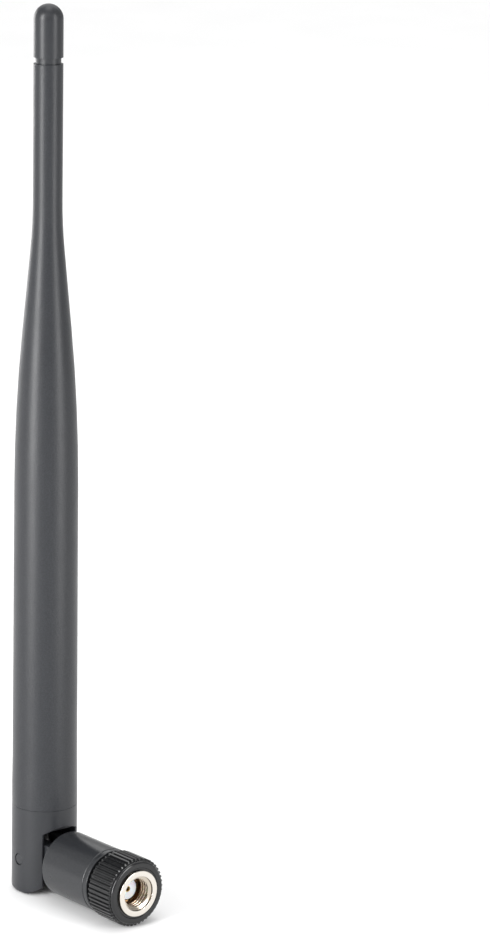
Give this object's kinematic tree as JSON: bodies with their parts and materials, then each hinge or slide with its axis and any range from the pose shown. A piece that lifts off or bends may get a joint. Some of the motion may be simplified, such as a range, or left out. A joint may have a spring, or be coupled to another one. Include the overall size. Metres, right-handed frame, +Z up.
{
  "type": "omnidirectional whip antenna",
  "caption": "Tapered whip antenna on a tilting and swivelling round hinge, with a ribbed coupling nut on a reverse-polarity SMA plug.",
  "frame": {"origin": "centre of the coupling thread at its front end, on the plug's axis", "axes": "+X along the plug, out of its mouth; +Z up along the whip; the tilt hinge is parallel to Y"},
  "size_m": [0.0365, 0.0136, 0.177],
  "materials": {
    "radome_plastic": "fine sparkle texture, dark charcoal grey",
    "smooth_plastic": "smooth matte, dark charcoal grey",
    "barrel_plastic": "satin with a fine grain, dark charcoal grey",
    "knurl_plastic": "satin moulded ribs, near black",
    "nickel": "bright nickel plate over brass",
    "ptfe": "white insulator",
    "gold": "thin gold plate",
    "brass": "drawn brass",
    "copper": "bare copper wire",
    "tinned_braid": "tinned copper braid",
    "solder": "dull solder",
    "cable_jacket": "black extruded cable jacket",
    "clear_insulator": "natural insulator",
    "spring_steel": "spring steel",
    "foam": "closed-cell foam"
  },
  "bodies": {
    "barrel": {"barrel": "barrel_plastic", "connector_bush": "barrel_plastic", "connector_body": "nickel", "connector_dielectric": "ptfe", "centre_contact": "gold", "retaining_ring": "spring_steel", "crimp_ferrule": "brass", "coax_tail_jacket": "cable_jacket", "coax_tail_braid": "tinned_braid", "coax_tail_dielectric": "clear_insulator", "coax_tail_conductor": "copper"},
    "swivel": {"swivel_half_upper": "smooth_plastic", "swivel_half_lower": "smooth_plastic", "coax_swivel": "cable_jacket", "coax_bend": "cable_jacket"},
    "whip": {"knuckle": "smooth_plastic", "hinge_pin_left": "smooth_plastic", "hinge_pin_right": "smooth_plastic", "radome": "radome_plastic", "tip_cap": "smooth_plastic", "coax_whip_jacket": "cable_jacket", "coax_whip_braid": "tinned_braid", "coax_whip_dielectric": "clear_insulator", "coax_whip_conductor": "copper", "dipole_sleeve": "brass", "sleeve_solder": "solder", "sleeve_bush": "clear_insulator", "feed_solder": "solder", "lower_radiator": "copper", "phasing_coil": "copper", "upper_radiator": "copper", "wire_spacer_lower": "foam", "wire_spacer_upper": "foam"},
    "nut": {"coupling_nut": "nickel", "knurled_cover": "knurl_plastic"}
  },
  "joints": [
    {"name": "swivel", "type": "hinge", "parent": "barrel", "child": "swivel", "pos_m": [-0.02934, 0, 0], "axis": [1, 0, 0], "range_deg": [-180, 180]},
    {"name": "tilt", "type": "hinge", "parent": "swivel", "child": "whip", "pos_m": [-0.02934, 0, 0], "axis": [0, -1, 0], "range_deg": [0, 90], "deforming": ["coax_bend"]},
    {"name": "nut_spin", "type": "hinge", "parent": "barrel", "child": "nut", "pos_m": [0, 0, 0], "axis": [1, 0, 0], "continuous": true}
  ]
}
